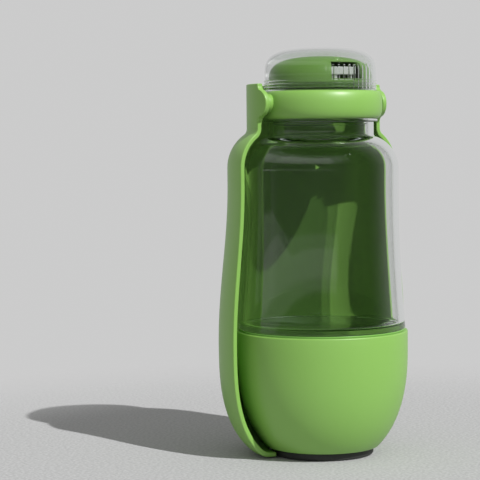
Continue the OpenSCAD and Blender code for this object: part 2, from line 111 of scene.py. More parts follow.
def arc(centre, radius, start, end, steps=12):
    """centre + radius (cos t, sin t), t going evenly from start to end in degrees."""
    t = np.radians(np.linspace(start, end, steps + 1))
    return np.column_stack((centre[0] + radius * np.cos(t), centre[1] + radius * np.sin(t)))


def super_arc(width, height, power, t, base=0.0, down=False):
    """Superellipse: r = width cos(t)^(2 / power), z = base + height sin(t)^(2 / power),
    or base - height ... when it bulges down. t is an array in degrees."""
    c, s = (np.clip(f(np.radians(t)), 0, 1) ** (2 / power) for f in (np.cos, np.sin))
    return np.column_stack((width * c, base + (-height if down else height) * s))


def turn_at_width(share, power):
    """Angle t of a superellipse where r is this share of its width."""
    return math.degrees(math.acos(share ** (power / 2)))


def turn_at_height(share, power):
    """Angle t of a superellipse where z is this share of its height."""
    return math.degrees(math.asin(share ** (power / 2)))


def section(*items):
    """Points of a section, in order. An (r, z) pair or an array is taken as it is; an
    (r, z, ease) item is a corner that an arc of radius ease rounds off: the arc touches
    both sides, its centre on the corner's bisector."""
    ends = [np.atleast_2d(i)[:, :2] for i in items]
    points = []
    for k, item in enumerate(items):
        if np.size(item) != 3 or np.ndim(item) == 2:
            points.append(ends[k])
            continue
        corner, ease = ends[k][0], item[2]
        u, v = (p - corner for p in (ends[k - 1][-1], ends[(k + 1) % len(ends)][0]))
        u, v = u / np.linalg.norm(u), v / np.linalg.norm(v)
        half = math.acos(np.clip(u @ v, -1, 1)) / 2
        centre = corner + (u + v) / np.linalg.norm(u + v) * ease / math.sin(half)
        first, last = (corner + w * ease / math.tan(half) - centre for w in (u, v))
        start, end = (math.degrees(math.atan2(w[1], w[0])) for w in (first, last))
        shorter_way = (end - start + 180) % 360 - 180
        points.append(arc(centre, ease, start, start + shorter_way, EASE_STEPS))
    return np.vstack(points)


def band(x, low, high, soft):
    """1 between low and high and 0 outside, with a straight ramp as wide as soft."""
    return np.clip((x - low) / soft + 0.5, 0, 1) * np.clip((high - x) / soft + 0.5, 0, 1)


# %% [markdown]
# ## Surfaces
#
# A turned part is a grid: one direction runs along the section, the other
# round the axis. numpy works the whole grid out at once and hands it to the mesh.
# A Screw or Spin would also turn a section, but on a grid the radius can change
# with the angle, which gives lugs, ledges and ribs for free.

# %% Surface helpers
def even_turn(count):
    """count angles in degrees, evenly round the circle."""
    return np.linspace(0, 360, count + 1)[:-1]


FULL_TURN = even_turn(192)


def turned(profile, angles=FULL_TURN, swell=None):
    """The section's point (r, z) at angle a stands at (r cos a, r sin a, z). swell(r, z, a),
    a in degrees, is added to r first."""
    r, z, a = np.broadcast_arrays(profile[:, :1], profile[:, 1:2], np.asarray(angles)[None, :])
    if swell is not None:
        r = r + swell(r, z, a)
    a = np.radians(a)
    return np.stack((r * np.cos(a), r * np.sin(a), z), axis=-1)


def quads(rows, columns, loop):
    """Corner numbers of a grid's faces. The columns close on themselves, and so do the
    rows when loop is true."""
    index = np.arange(rows * columns).reshape(rows, columns)
    index = np.hstack((index, index[:, :1]))
    if loop:
        index = np.vstack((index, index[:1]))
    return np.stack((index[:-1, :-1], index[:-1, 1:], index[1:, 1:], index[1:, :-1]), axis=-1)


def skin(points, loop=False):
    """A grid of points as vertices and faces. A section that starts and ends on the axis
    closes at its poles; any other one is a loop."""
    return points.reshape(-1, 3), quads(*points.shape[:2], loop).reshape(-1, 4)


MERGE = 1e-7


def new_piece(name, *skins):
    """Makes one object from skins in millimetres. Points that coincide are merged, which
    closes poles, and then the faces are turned outwards."""
    starts = np.cumsum([0] + [len(points) for points, faces in skins])
    vertices = np.vstack([points for points, faces in skins]) * MM
    corners = np.vstack([faces + start for (points, faces), start in zip(skins, starts)])
    mesh = bpy.data.meshes.new(name)
    mesh.from_pydata(vertices.tolist(), [], corners.tolist())
    form = bmesh.new()
    form.from_mesh(mesh)
    bmesh.ops.remove_doubles(form, verts=form.verts, dist=MERGE)
    bmesh.ops.recalc_face_normals(form, faces=form.faces)
    form.to_mesh(mesh)
    open_edges = sum(not edge.is_manifold for edge in form.edges)
    form.free()
    mesh.polygons.foreach_set("use_smooth", np.ones(len(mesh.polygons), dtype=bool))
    piece = bpy.data.objects.new(name, mesh)
    bpy.context.scene.collection.objects.link(piece)
    print(f"{name}: {len(mesh.polygons)} faces, {open_edges} open edges")
    return piece


def dress(piece, body, slot, finish, *nodes):
    """Lets the piece ride on a body, gives it its finish and hides the CAD nodes that
    it stands for. slot is not used."""
    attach(piece, body)
    piece.data.materials.clear()
    piece.data.materials.append(finish)
    if nodes:
        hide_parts(*nodes)


# %% [markdown]
# ## Shader maths
#
# A material is a small program. Wiring its nodes by hand hides the idea, so a
# socket is wrapped in a class whose operators add the Math nodes. The finish
# below then reads like the formula that it is.

# %% Wires and finishes
class Wire:
    """An output socket of a finish. An expression on wires adds its Math nodes."""

    def __init__(self, finish, socket):
        self.finish, self.socket = finish, socket

    def math(self, operation, first, second):
        """Wire of a new Math node that works on first and second."""
        return self.finish.node("ShaderNodeMath", {"operation": operation}, {0: first, 1: second})

    def __add__(self, other):
        return self.math("ADD", self, other)

    def __sub__(self, other):
        return self.math("SUBTRACT", self, other)

    def __mul__(self, other):
        return self.math("MULTIPLY", self, other)

    def __rsub__(self, other):
        return self.math("SUBTRACT", other, self)

    __radd__, __rmul__ = __add__, __mul__


class Finish:
    """A material that is written as expressions. place is the point on the object in metres."""

    def __init__(self, name):
        self.material = bpy.data.materials.new(name)
        self.material.use_nodes = True
        self.tree = self.material.node_tree
        self.tree.nodes.clear()
        self.place = self.node("ShaderNodeTexCoord", out="Object")

    def node(self, kind, settings=None, inputs=None, out=0):
        """Adds a node: its settings first, then the values or wires of its sockets."""
        node = self.tree.nodes.new(kind)
        for name, value in (settings or {}).items():
            setattr(node, name, value)
        for name, value in (inputs or {}).items():
            if isinstance(value, Wire):
                self.tree.links.new(value.socket, node.inputs[name])
            else:
                node.inputs[name].default_value = value
        return Wire(self, node.outputs[out]) if node.outputs else None

    def noise(self, size_mm, detail=2.0, stretch=None):
        """Soft noise from 0 to 1 whose spots are about size_mm across. stretch gives
        the spots' proportions along X, Y and Z."""
        place = self.place
        if stretch is not None:
            place = self.node("ShaderNodeMapping", {},
                              {"Vector": place, "Scale": [1 / s for s in stretch]})
        return self.node("ShaderNodeTexNoise", {},
                         {"Vector": place, "Scale": 1000 / size_mm, "Detail": detail}, out="Fac")

    def blend(self, share, first, second):
        """Colour that goes from first to second as share goes from 0 to 1."""
        mix = self.tree.nodes.new("ShaderNodeMix")
        mix.data_type = "RGBA"
        for name, value in (("Factor_Float", share), ("A_Color", first), ("B_Color", second)):
            socket = next(s for s in mix.inputs if s.identifier == name)
            if isinstance(value, Wire):
                self.tree.links.new(value.socket, socket)
            else:
                socket.default_value = value if name == "Factor_Float" else (*value, 1)
        return Wire(self, next(s for s in mix.outputs if s.identifier == "Result_Color"))

    def bump(self, height, depth_mm, strength=1.0, normal=None):
        """Normal that height, from 0 to 1, raises by depth_mm."""
        inputs = {"Height": height, "Distance": depth_mm * MM, "Strength": strength}
        if normal is not None:
            inputs["Normal"] = normal
        return self.node("ShaderNodeBump", {}, inputs)

    def plastic(self, **sockets):
        """Principled shader with these sockets, by their names with _ for a space."""
        return self.node("ShaderNodeBsdfPrincipled", {},
                         {name.replace("_", " "): value for name, value in sockets.items()})

    def done(self, shader):
        """Closes the program with this shader and gives the material."""
        self.node("ShaderNodeOutputMaterial", {}, {"Surface": shader})
        return self.material


# %% [markdown]
# ## Green plastic
#
# Bowl, trough, collar and spout are the same satin polypropylene. Its colour is
# nearly even; what makes it read as moulded plastic is a fine spark-eroded grain
# of a few tenths of a millimetre, a gloss that changes slowly over the surface,
# and a slightly paler bloom where it has been handled.

# %% Green plastic
GREEN = (0.206, 0.422, 0.072)
GREEN_PALE = (0.226, 0.442, 0.090)


def satin_green():
    """Colour and gloss drift with a wide cloud; a fine grain lies over soft rub marks."""
    finish = Finish("satin_green_plastic")
    cloud = finish.noise(38.0)
    fleck = finish.noise(1.6, 3.0)
    grain = finish.noise(0.42, 2.0)
    rub = finish.noise(9.0, 4.0)
    return finish.done(finish.plastic(
        Base_Color=finish.blend(cloud * 0.7 + fleck * 0.3, GREEN, GREEN_PALE),
        Roughness=0.37 + cloud * 0.05 + rub * 0.07,
        IOR=1.49, Specular_IOR_Level=0.7,
        Normal=finish.bump(grain, 0.012, 0.5, finish.bump(rub, 0.02, 0.3))))


green = satin_green()

# %% [markdown]
# ## Clear plastic
#
# The bottle and the lid are thick clear copolyester. Light that crosses a real
# wall reaches what stands behind it, but a path tracer finds that way only by
# luck. So the eye's own rays are bent properly, while rays to the lamp, soft
# bounced rays and rays that were mirrored once go straight through, a little
# dimmed. One flag cannot do this: a ray bent by a clear wall counts as glossy
# too, and only "Is Reflection Ray" tells the mirrored ones apart. The surface is
# not optically flat: moulding leaves long soft waves and use leaves faint haze.
# Soft clear silicone is the same program with more haze and finer waves.

# %% Clear plastic
STRAIGHT_ON = {"Is Reflection Ray": (0.93, 0.95, 0.94, 1), "Is Shadow Ray": (0.65, 0.67, 0.66, 1),
               "Is Diffuse Ray": (0.74, 0.76, 0.75, 1)}
HAZE_GAIN, WAVE_STRETCH, WAVE_PER_DEPTH, WAVE_STRENGTH = 0.012, (1.0, 1.0, 2.6), 260, 0.12


def see_through(name, colour, ior, dull, haze_size, wave_size):
    """Clear body: a bending, mirroring wall for the eye, which the kinds of ray in
    STRAIGHT_ON cross without a bend, dimmed by a tint. Its roughness is dull + haze times
    (HAZE_GAIN + dull), and its waves are drawn out along the axis."""
    finish = Finish(name)
    waves = finish.noise(wave_size, 1.0, WAVE_STRETCH)
    haze = finish.noise(haze_size, 4.0)
    wall = finish.plastic(
        Base_Color=colour, Roughness=dull + haze * (HAZE_GAIN + dull), IOR=ior,
        Transmission_Weight=1.0,
        Normal=finish.bump(waves, wave_size / WAVE_PER_DEPTH, WAVE_STRENGTH))
    for ray, tint in STRAIGHT_ON.items():
        share = finish.node("ShaderNodeLightPath", out=ray)
        through = finish.node("ShaderNodeBsdfTransparent", {}, {"Color": tint})
        wall = finish.node("ShaderNodeMixShader", {}, {0: share, 1: wall, 2: through})
    return finish.done(wall)


clear = see_through("clear_copolyester", (0.98, 0.99, 0.985, 1), 1.5, 0.0, 14.0, 26.0)
silicone = see_through("clear_silicone", (0.90, 0.93, 0.92, 1), 1.41, 0.12, 2.0, 5.0)

# %% [markdown]
# ## Small finishes
#
# The other finishes are small but each has its own way of being uneven: satin
# white for the outlet insert, green silicone for the seal under the bottle, dull
# rubber for the foot, ground steel for the pins, and two engineering plastics in
# the hinge.

# %% Small finishes
def satin_white():
    """White whose tone and gloss drift a little together, with a fine grain."""
    finish = Finish("satin_white_plastic")
    tone, grain = finish.noise(6.0, 3.0), finish.noise(0.4, 2.0)
    return finish.done(finish.plastic(
        Base_Color=finish.blend(tone, (0.80, 0.80, 0.77), (0.86, 0.86, 0.84)),
        Roughness=0.34 + tone * 0.1, Normal=finish.bump(grain, 0.01, 0.5)))


def green_seal():
    """Green silicone with a film of dust that dulls it in specks."""
    finish = Finish("green_silicone")
    tone, dust = finish.noise(3.0, 3.0), finish.noise(0.3, 2.0)
    return finish.done(finish.plastic(
        Base_Color=finish.blend(tone, (0.17, 0.40, 0.07), (0.21, 0.44, 0.10)),
        Roughness=0.3 + dust * 0.12, IOR=1.41, Normal=finish.bump(dust, 0.01, 0.4)))


def dull_rubber():
    """Nearly black and quite dull, paler and duller together in soft patches."""
    finish = Finish("dull_rubber")
    tone, grain = finish.noise(5.0, 4.0), finish.noise(0.35, 2.0)
    return finish.done(finish.plastic(
        Base_Color=finish.blend(tone, (0.018, 0.020, 0.017), (0.034, 0.036, 0.032)),
        Roughness=0.55 + tone * 0.2, Normal=finish.bump(grain, 0.03, 0.6)))


def ground_steel():
    """Metal with grinding marks: noise drawn out fourteen times round the pin."""
    finish = Finish("ground_steel")
    scratch = finish.noise(0.25, 3.0, (1.0, 14.0, 14.0))
    return finish.done(finish.plastic(
        Base_Color=finish.blend(scratch, (0.52, 0.53, 0.55), (0.64, 0.65, 0.67)),
        Metallic=1.0, Roughness=0.24 + scratch * 0.16, Normal=finish.bump(scratch, 0.004, 0.6)))


def machined_plastic(name, dark, light):
    """Plastic between two close tones, with fine tool marks in its gloss and surface."""
    finish = Finish(name)
    tone, ring = finish.noise(1.5, 3.0), finish.noise(0.2, 2.0)
    return finish.done(finish.plastic(
        Base_Color=finish.blend(tone, dark, light),
        Roughness=0.42 + ring * 0.12, Normal=finish.bump(ring, 0.006, 0.5)))


white, green_silicone, rubber, steel = satin_white(), green_seal(), dull_rubber(), ground_steel()
nylon = machined_plastic("black_nylon", (0.020, 0.020, 0.021), (0.040, 0.040, 0.042))
acetal = machined_plastic("cream_acetal", (0.74, 0.72, 0.64), (0.82, 0.80, 0.73))

# %% [markdown]
# ## Bottle
#
# The bottle is blown in one piece: a slightly waisted barrel, a round shoulder,
# a neck with a bead under the collar, and below its base a short skirt with four
# lugs that lock in the bowl. For glass-like plastic one closed wall with an
# inside and an outside is essential, because both faces bend light. So the whole
# wall is one section from pole to pole, and the lugs are a swelling of the skirt.

# %% Bottle
RIM_Z, BASE_Z, MOUTH_Z = 67.0, 68.0, 195.0
WAIST_R, WAIST_UP, SIDE_ARC = 41.6, 74.0, 800.0
SHOULDER_UP, SHOULDER_R = 85.4, 18.5
NECK_R, NECK_FILLET, BOTTLE_WALL = 28.5, 1.5, 3.1
NECK_BEAD_OUT, NECK_BEAD_H = 2.0, 1.6
SKIRT_R, SKIRT_WALL, SKIRT_Z = 41.6, 2.6, 55.0
LUG_OUT, LUG_LOW, LUG_HIGH, LUG_HALF = 1.6, 55.5, 58.5, 14.0
COLLAR_Z, SIDE_START = 180.2, 1.2
RAMP_UP, RAMP_TURN, SAME_FACE = 0.1, 0.4, 0.05


def barrel_r(up):
    """The barrel follows a long arc: r = waist + (up - waist height)^2 / (2 arc radius)."""
    return WAIST_R + (up - WAIST_UP) ** 2 / (2 * SIDE_ARC)


def shoulder(centre_r, centre_z, radius, neck, fillet, inset):
    """Shoulder arc that a fillet joins to a neck; inset moves both arcs inwards."""
    reach = neck + fillet
    top = centre_z + math.sqrt((radius + fillet) ** 2 - (reach - centre_r) ** 2)
    turn = math.degrees(math.atan2(top - centre_z, reach - centre_r))
    return np.vstack((arc((centre_r, centre_z), radius - inset, 0, turn, 26),
                      arc((reach, top), fillet + inset, turn + 180, 180, 10)))


def bottle_side(start_up, inset):
    """Barrel and shoulder from a height above the base up, moved inwards by inset."""
    up = np.linspace(start_up, SHOULDER_UP, 56)[:-1]
    barrel = np.column_stack((barrel_r(up) - inset, BASE_Z + up))
    return np.vstack((barrel, shoulder(barrel_r(SHOULDER_UP) - SHOULDER_R, BASE_Z + SHOULDER_UP,
                                       SHOULDER_R, NECK_R, NECK_FILLET, inset)))


def near_quarter(a):
    """Distance of an angle from the nearest quarter turn, in degrees."""
    return (a + 45) % 90 - 45


def lug_swell(r, z, a):
    """LUG_OUT within a lug's height and angle, on the skirt's outer face only."""
    lug = (band(z, LUG_LOW, LUG_HIGH, RAMP_UP)
           * band(near_quarter(a), -LUG_HALF, LUG_HALF, RAMP_TURN))
    return LUG_OUT * lug * (np.abs(r - SKIRT_R) < SAME_FACE)


def ramp_ends(edges, ramp):
    """Both ends of the ramp at each of these edges, in rising order."""
    edges = np.asarray(edges)
    return np.sort(np.concatenate((edges - ramp / 2, edges + ramp / 2)))


def with_quarters(*edges):
    """Angles of a full turn and, at each quarter turn, the ramp ends of these edges."""
    ends = ramp_ends(edges, RAMP_TURN)
    return np.unique(np.concatenate([FULL_TURN] + [(90 * k + ends) % 360 for k in range(4)]))


INNER_CORNER, BOTTLE_FLOOR = 2.0, 2.2
inner_up = BOTTLE_FLOOR + INNER_CORNER
inner_side_r = barrel_r(inner_up) - BOTTLE_WALL
lug_rows = ramp_ends((LUG_LOW, LUG_HIGH), RAMP_UP)
bottle_section = section(
    (0, BASE_Z), (SKIRT_R - SKIRT_WALL, BASE_Z, 0.5), (SKIRT_R - SKIRT_WALL, SKIRT_Z, 0.4),
    (SKIRT_R, SKIRT_Z, 0.4), np.column_stack((0 * lug_rows + SKIRT_R, lug_rows)),
    (SKIRT_R, BASE_Z, 0.3), (barrel_r(0), BASE_Z, 0.8), bottle_side(SIDE_START, 0),
    (NECK_R, COLLAR_Z - NECK_BEAD_H, 0.3), (NECK_R + NECK_BEAD_OUT, COLLAR_Z - NECK_BEAD_H, 0.5),
    (NECK_R + NECK_BEAD_OUT, COLLAR_Z, 0.5), (NECK_R, COLLAR_Z, 0.3), (NECK_R, MOUTH_Z, 0.6),
    (NECK_R - BOTTLE_WALL, MOUTH_Z, 0.6), bottle_side(inner_up, BOTTLE_WALL)[::-1],
    arc((inner_side_r - INNER_CORNER, BASE_Z + inner_up), INNER_CORNER, 0, -90, 14)[1:],
    (0, BASE_Z + BOTTLE_FLOOR))
lug_angles = with_quarters(-LUG_HALF, LUG_HALF)
bottle = new_piece("bottle", skin(turned(bottle_section, lug_angles, lug_swell)))
dress(bottle, "bottle", "clear_plastic", clear, "bottle_shell")

# %% [markdown]
# ## Food bowl
#
# The bowl is an egg-like cup with a straight band under its rim. A superellipse
# gives that fuller, squarer belly with one number, where an ellipse would look
# thin and a spline would need points by hand. Inside, four ledges hook over the
# bottle's lugs and a rib beside each stops the turn.

# %% Food bowl
BOWL_R, BOWL_WALL, BOWL_FORM, BAND_Z = 46.2, 2.6, 2.4, 58.0
BOWL_FOOT_R, FOOT_H, BOWL_FLOOR = 30.1, 4.3, 6.7
SPIGOT_R, SPIGOT_H = 22.0, 1.2
LEDGE_LOW, LEDGE_HIGH, LEDGE_HALF, STOP_SPAN, NEAR_FACE = 58.7, 61.2, 15.0, 4.0, 0.4
CLOSE_FIT = 0.04
bowl_drop = (BAND_Z - FOOT_H) / (1 - (BOWL_FOOT_R / BOWL_R) ** BOWL_FORM) ** (1 / BOWL_FORM)
bowl_in_r, bowl_in_drop = BOWL_R - BOWL_WALL, bowl_drop - BOWL_WALL


def ledge_swell(r, z, a):
    """-LUG_OUT within a ledge or the stop rib beside it, on the bowl's inner face only."""
    near = near_quarter(a)
    ledge = (band(z, LEDGE_LOW, LEDGE_HIGH, RAMP_UP)
             * band(near, -LEDGE_HALF, LEDGE_HALF, RAMP_TURN))
    stop = (band(z, LUG_LOW, LEDGE_HIGH, RAMP_UP)
            * band(near, LEDGE_HALF, LEDGE_HALF + STOP_SPAN, RAMP_TURN))
    return -LUG_OUT * np.maximum(ledge, stop) * (np.abs(r - bowl_in_r) < NEAR_FACE)


floor_turn = turn_at_height((BAND_Z - BOWL_FLOOR) / bowl_in_drop, BOWL_FORM)
floor_r = super_arc(bowl_in_r, bowl_in_drop, BOWL_FORM, np.array([floor_turn]))[0, 0]
foot_turn = turn_at_width(BOWL_FOOT_R / BOWL_R, BOWL_FORM)
ledge_rows = ramp_ends((LEDGE_LOW, LEDGE_HIGH), RAMP_UP)[::-1]
socket_r, socket_z = SPIGOT_R + CLOSE_FIT, FOOT_H + SPIGOT_H + CLOSE_FIT
bowl_section = section(
    (0, socket_z), (socket_r, socket_z, 0.2), (socket_r, FOOT_H, 0.3), (BOWL_FOOT_R, FOOT_H, 1.2),
    super_arc(BOWL_R, bowl_drop, BOWL_FORM, np.linspace(foot_turn, 0, 64), BAND_Z, True)[2:],
    (BOWL_R, RIM_Z, 0.7), (bowl_in_r, RIM_Z, 0.5),
    np.column_stack((0 * ledge_rows + bowl_in_r, ledge_rows)),
    super_arc(bowl_in_r, bowl_in_drop, BOWL_FORM,
              np.linspace(0, floor_turn, 56), BAND_Z, True)[:-3],
    (floor_r, BOWL_FLOOR, 2.5), (0, BOWL_FLOOR))
ledge_angles = with_quarters(-LEDGE_HALF, LEDGE_HALF, LEDGE_HALF + STOP_SPAN)
food_bowl = new_piece("food_bowl_skin", skin(turned(bowl_section, ledge_angles, ledge_swell)))
dress(food_bowl, "bowl", "green_plastic", green, "food_bowl")

# %% [markdown]
# ## Foot
#
# A dark rubber disc is glued into the bowl's underside. Its lower edge is round
# and rings in its sole keep it from slipping.

# %% Foot
FOOT_R, RING_DEPTH, RING_WIDTH, RING_EASE = 27.5, 0.5, 1.0, 0.12
rings = [(r, z, RING_EASE) for ring in (11, 14, 17, 20, 23)
         for r, z in ((ring, 0), (ring, RING_DEPTH),
                      (ring + RING_WIDTH, RING_DEPTH), (ring + RING_WIDTH, 0))]
foot_section = section((0, 0), *rings, (FOOT_R, 0, 1.4), (FOOT_R, FOOT_H, 0.4),
                       (SPIGOT_R, FOOT_H, 0.1), (SPIGOT_R, FOOT_H + SPIGOT_H, 0.3),
                       (0, FOOT_H + SPIGOT_H))
foot = new_piece("foot", skin(turned(foot_section)))
dress(foot, "bowl", "foot_rubber", rubber, "foot_pad")

# %% [markdown]
# ## Trough
#
# The half shell that flips up to drink from is the hardest form here: its wall
# follows the bottle's outline at a distance, and its cut edge shows all along
# as a bright strip that swells into a round ear at the hinge. A cut tube with
# Solidify would give the wall but not control over that edge. Instead the
# wall's cross-section, a thin rounded rectangle bent round the bottle, is carried
# up the side. Each row says where the outer and inner face run and how far the
# edge reaches forward. The last rows at both ends shrink the rectangle, which
# rounds the lips, and at the hinge the inner face is drawn in to the flat plane
# on which the ear runs against its washer.

# %% Trough
TROUGH_R, BELLY_Z, TROUGH_WALL, TROUGH_FORM = 55.7, 60.0, 2.4, 2.8
TROUGH_WAIST_R, TROUGH_WAIST_Z = 50.1, 146.0
TROUGH_SHOULDER_Z, TROUGH_SHOULDER_R = 154.5, 21.7
TROUGH_NECK_R, TROUGH_FILLET, TROUGH_LIFT = 39.5, 4.0, 0.6
TROUGH_DEEP, TROUGH_SOFT = 67.8, 1.6
NOTCH_R, HINGE_Z, TROUGH_TOP_Z = 29.5, 188.5, 198.9
EAR_R, EAR_FILLET, EAR_FACE, LIP = 7.2, 3.0, 36.3, 0.55


def kept_above(z, lowest):
    """Keeps z above a lowest height by a soft bend: lowest + (d + sqrt(d^2 + soft^2)) / 2,
    d being z - lowest."""
    return lowest + (z - lowest + np.hypot(z - lowest, TROUGH_SOFT)) / 2


def trough_side(inset):
    """Section of the trough at this depth in its wall: superellipse, a half wave from the
    belly to the waist, shoulder arc, fillet and neck."""
    width = TROUGH_R - inset
    start = turn_at_width((NOTCH_R + LIP) / width, TROUGH_FORM)
    belly = super_arc(width, TROUGH_DEEP - inset, TROUGH_FORM,
                      np.linspace(start, 0, 60), BELLY_Z, True)
    belly[:, 1] = kept_above(belly[:, 1], TROUGH_LIFT + inset)
    s = np.linspace(0, 1, 44)[1:-1]
    middle, swing = (TROUGH_R + TROUGH_WAIST_R) / 2, (TROUGH_R - TROUGH_WAIST_R) / 2
    wave = np.column_stack((middle + swing * np.cos(np.pi * s) - inset,
                            BELLY_Z + (TROUGH_WAIST_Z - BELLY_Z) * s))
    rise = shoulder(TROUGH_WAIST_R - TROUGH_SHOULDER_R, TROUGH_SHOULDER_Z, TROUGH_SHOULDER_R,
                    TROUGH_NECK_R, TROUGH_FILLET, inset)
    neck_z = np.linspace(rise[-1, 1], TROUGH_TOP_Z - LIP, 72)[1:]
    return np.vstack((
        belly, wave, (TROUGH_WAIST_R - inset, TROUGH_WAIST_Z), rise,
        np.column_stack((0 * neck_z + TROUGH_NECK_R - inset, neck_z))))


def ear_reach(z):
    """How far the edge stands forward at a height: a disc round the hinge axis that two
    fillets join to the straight edge."""
    root = math.sqrt((EAR_R + EAR_FILLET) ** 2 - EAR_FILLET ** 2)
    away = np.abs(z - HINGE_Z)
    disc = np.sqrt(np.clip(EAR_R ** 2 - away ** 2, 0, None))
    fillet = EAR_FILLET - np.sqrt(np.clip(EAR_FILLET ** 2 - (root - away) ** 2, 0, None))
    meet = root * EAR_R / (EAR_R + EAR_FILLET)
    return np.where(away < meet, disc, np.where(away < root, fillet, 0))


ACROSS, ROUND_EDGE, CORNER, LEAST_EASE = 108, 16, 6, 0.02


def wall_loop(inset):
    """Cross-section of the wall as three arrays: q, the share of the way round from the
    right edge to the left, a, the distance from the edge, and w, the depth in the wall.
    inset shrinks the rectangle and its corner arcs."""
    ease, depth = max(LIP - inset, LEAST_EASE), TROUGH_WALL - 2 * inset
    t = np.radians(np.linspace(0, 90, CORNER))
    near, far = ease * (1 - np.sin(t)), ease * (1 - np.cos(t))
    flat = np.linspace(ease, depth - ease, ROUND_EDGE - 2 * CORNER + 2)[1:-1]
    edge_a = np.concatenate((near, 0 * flat, near[::-1]))
    edge_w = np.concatenate((far, flat, depth - far[::-1]))
    q, side = np.linspace(0, 1, ACROSS + 2)[1:-1], np.zeros(ROUND_EDGE)
    return np.stack((np.concatenate((q, side + 1, q[::-1], side)),
                     np.concatenate((0 * q + ease, edge_a, 0 * q + ease, edge_a)) + inset,
                     np.concatenate((0 * q, edge_w, 0 * q + depth, edge_w[::-1])) + inset))


lean = np.radians(np.linspace(0, 90, CORNER))[1:]
shrink = LIP * (1 - np.cos(lean))


def with_lips(side):
    """Adds to a side the rows over which the wall rounds off at the notch and at the top."""
    reach = LIP * np.sin(lean)
    foot_end = np.column_stack((side[0, 0] - reach, 0 * reach + side[0, 1]))
    top_end = np.column_stack((0 * reach + side[-1, 0], side[-1, 1] + reach))
    return np.vstack((foot_end[::-1], side, top_end))


EAR_LOW = HINGE_Z - math.sqrt((EAR_R + EAR_FILLET) ** 2 - EAR_FILLET ** 2)
outer, inner = with_lips(trough_side(0)), with_lips(trough_side(TROUGH_WALL))
insets = np.concatenate((shrink[::-1], np.zeros(len(outer) - 2 * len(lean)), shrink))
q, a, w = np.moveaxis(np.array([wall_loop(inset) for inset in insets]), 1, 0)
share = (w / TROUGH_WALL)[..., None]
r, z = np.moveaxis(outer[:, None] * (1 - share) + inner[:, None] * share, -1, 0)
edge = np.degrees(np.arcsin((a - ear_reach(z)) / r))
turn = np.radians(edge + q * (180 - 2 * edge))
flat_ear = np.clip((z - EAR_LOW) / EAR_FILLET + 0.5, 0, 1) * np.clip(w / TROUGH_WALL, 0, 1)
r = r - flat_ear * np.clip(TROUGH_NECK_R - TROUGH_WALL - EAR_FACE / np.abs(np.cos(turn)), 0, None)
trough_points, trough_faces = skin(np.stack((r * np.cos(turn), r * np.sin(turn), z), axis=-1))


def lip_cap(row):
    """Faces that close a lip: each point of the wall's outer half is joined to the one
    across the wall from it."""
    count = q.shape[1]
    ring = row * count + np.roll(np.arange(count), ROUND_EDGE // 2)
    k = np.arange(count // 2 - 1)
    return ring[np.column_stack((k, k + 1, count - 2 - k, count - 1 - k))]


trough_faces = np.vstack((trough_faces, lip_cap(0), lip_cap(len(outer) - 1)))
trough = new_piece("trough", (trough_points, trough_faces))
dress(trough, "trough", "green_plastic", green, "trough_shell")

# %% [markdown]
# ## Hinge
#
# The collar is a barrel-shaped ring clamped on the neck, with a boss on each
# side. A steel pin in each boss carries a plastic bush in the trough's ear, with
# a black washer between them. All are turned parts, so they are drawn about Z
# and laid on the hinge axis.

# %% Hinge
COLLAR_R, COLLAR_TOP_R, COLLAR_FORM = 33.2, 30.2, 2.2
PIN_R, BUSH_R, WASHER_R = 2.0, 3.4, 4.8
BOSS_R, BOSS_FACE, BUSH_END = 5.0, 35.6, 38.4
PIN_ROOT, WASHER_PLAY, BUSH_PLAY, BUSH_BACK = 6.0, 0.1, 0.05, 0.03
SMALL_TURN = even_turn(64)


def on_hinge(points, side):
    """Turns a part that was drawn about Z so that it lies on the hinge axis, on one side."""
    x, y, z = np.moveaxis(points, -1, 0)
    return np.stack((side * z, x, HINGE_Z + y), axis=-1)


half_collar = (MOUTH_Z - COLLAR_Z) / 2
barrel = super_arc(COLLAR_R - COLLAR_TOP_R, half_collar, COLLAR_FORM, np.linspace(90, 0, 28))
barrel = np.vstack((barrel, barrel[-2::-1] * (1, -1))) + (COLLAR_TOP_R, COLLAR_Z + half_collar)
collar_section = section((NECK_R + CLOSE_FIT, MOUTH_Z, 0.3), barrel,
                         (NECK_R + CLOSE_FIT, COLLAR_Z, 0.3))
boss_root = NECK_R + 1
boss_section = section((0, boss_root), (BOSS_R, boss_root), (BOSS_R, BOSS_FACE, 0.4),
                       (0, BOSS_FACE))
bosses = [skin(on_hinge(turned(boss_section, SMALL_TURN), side)) for side in (-1, 1)]
collar = new_piece("collar", skin(turned(collar_section), True), *bosses)
dress(collar, "bottle", "green_plastic", green, "hinge_collar")

pin_section = section((0, BOSS_FACE - PIN_ROOT), (PIN_R, BOSS_FACE - PIN_ROOT, 0.4),
                      (PIN_R, BUSH_END, 0.4), (0, BUSH_END))
washer_section = section((PIN_R + WASHER_PLAY, BOSS_FACE, 0.1), (WASHER_R, BOSS_FACE, 0.15),
                         (WASHER_R, EAR_FACE, 0.15), (PIN_R + WASHER_PLAY, EAR_FACE, 0.1))
bush_section = section((PIN_R + BUSH_PLAY, EAR_FACE + BUSH_BACK, 0.2),
                       (BUSH_R, EAR_FACE + BUSH_BACK, 0.2),
                       (BUSH_R, BUSH_END, 0.2), (PIN_R + BUSH_PLAY, BUSH_END, 0.2))
for word, side in (("left", -1), ("right", 1)):
    for name, profile, loop, body, slot, finish, node in (
            ("pin", pin_section, False, "bottle", "pin_steel", steel, "pivot_pin_"),
            ("washer", washer_section, True, "bottle", "washer_nylon", nylon, "ear_washer_"),
            ("bush", bush_section, True, "trough", "bush_acetal", acetal, "ear_bush_")):
        part = new_piece(f"{name}_{word}", skin(on_hinge(turned(profile, SMALL_TURN), side), loop))
        dress(part, body, slot, finish, node + word)

